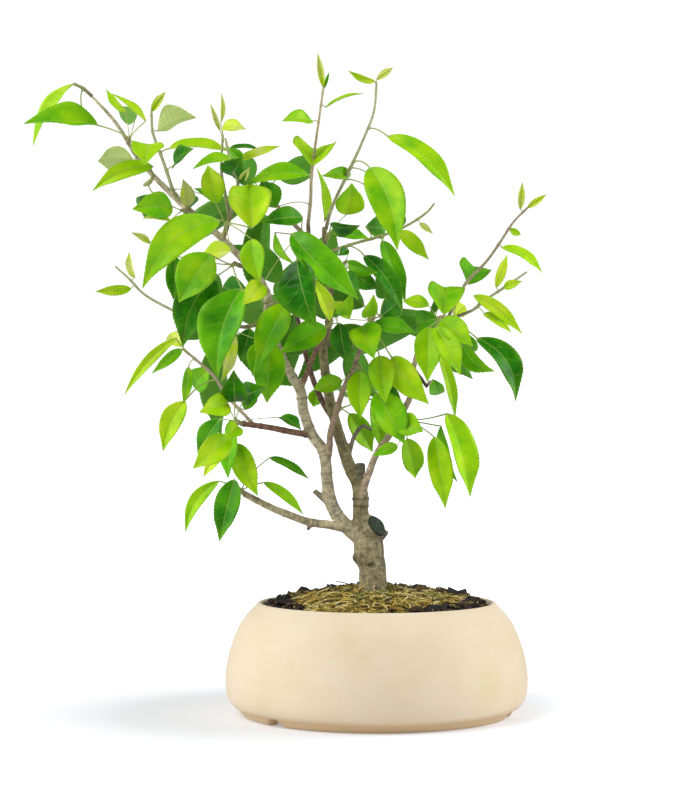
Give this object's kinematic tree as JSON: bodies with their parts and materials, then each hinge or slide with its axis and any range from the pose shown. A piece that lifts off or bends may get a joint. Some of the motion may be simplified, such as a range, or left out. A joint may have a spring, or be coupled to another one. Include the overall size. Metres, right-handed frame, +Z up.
{
  "type": "pear bonsai",
  "caption": "Small pear tree with a forked trunk and leafy shoots, grown in a low rounded clay bowl with soil and a dressing of straw.",
  "frame": {"origin": "on the surface that the pot stands on, under the middle of the whole object's bounding box; the pot's own axis is 64 mm to the +X side of it", "axes": "+Z up, -Y towards the side shown in the picture, +X to that view's right"},
  "size_m": [0.3754, 0.2202, 0.48],
  "materials": {
    "clay": "unglazed, matt, faint throwing lines",
    "nylon_net": "matt",
    "compost": "rough, crumbly",
    "straw": "fibrous, dry",
    "bark": "rough bark",
    "paste": "matt, rubbery",
    "leaf": "glossy above, paler and matt beneath",
    "young_leaf": "soft sheen"
  },
  "bodies": {
    "root": {"pot": "clay", "drain_mesh": "nylon_net", "soil": "compost", "straw_dressing": "straw", "wood": "bark", "cut_paste": "paste", "left_tip_spray": "young_leaf", "left_high_spray": "leaf", "left_knuckle_spray": "leaf", "left_rising_shoot": "young_leaf", "left_low_spray": "leaf", "twin_rising_shoots": "young_leaf", "left_heart_spray": "leaf", "left_front_spray": "leaf", "left_reaching_shoot": "young_leaf", "left_hanging_shoot": "young_leaf", "lower_left_spray": "leaf", "low_branch_spray": "leaf", "ring_spray": "leaf", "twig_end_spray": "leaf", "front_centre_spray": "leaf", "high_left_shoot": "young_leaf", "high_right_shoot": "young_leaf", "crown_spray": "leaf", "upper_right_shoot": "leaf", "leader_spray": "leaf", "middle_spray": "leaf", "fork_twig_spray": "leaf", "fork_back_spray": "leaf", "right_spur_spray": "leaf", "right_low_spray": "leaf", "right_twig_spray": "leaf", "right_spray": "leaf", "right_end_spray": "young_leaf", "right_high_shoot": "young_leaf", "right_mid_shoot": "young_leaf", "back_right_spray": "leaf", "back_right_inner_spray": "leaf", "back_left_spray": "leaf", "back_upright_spray": "leaf", "back_far_spray": "leaf", "back_top_spray": "leaf"}
  },
  "joints": []
}
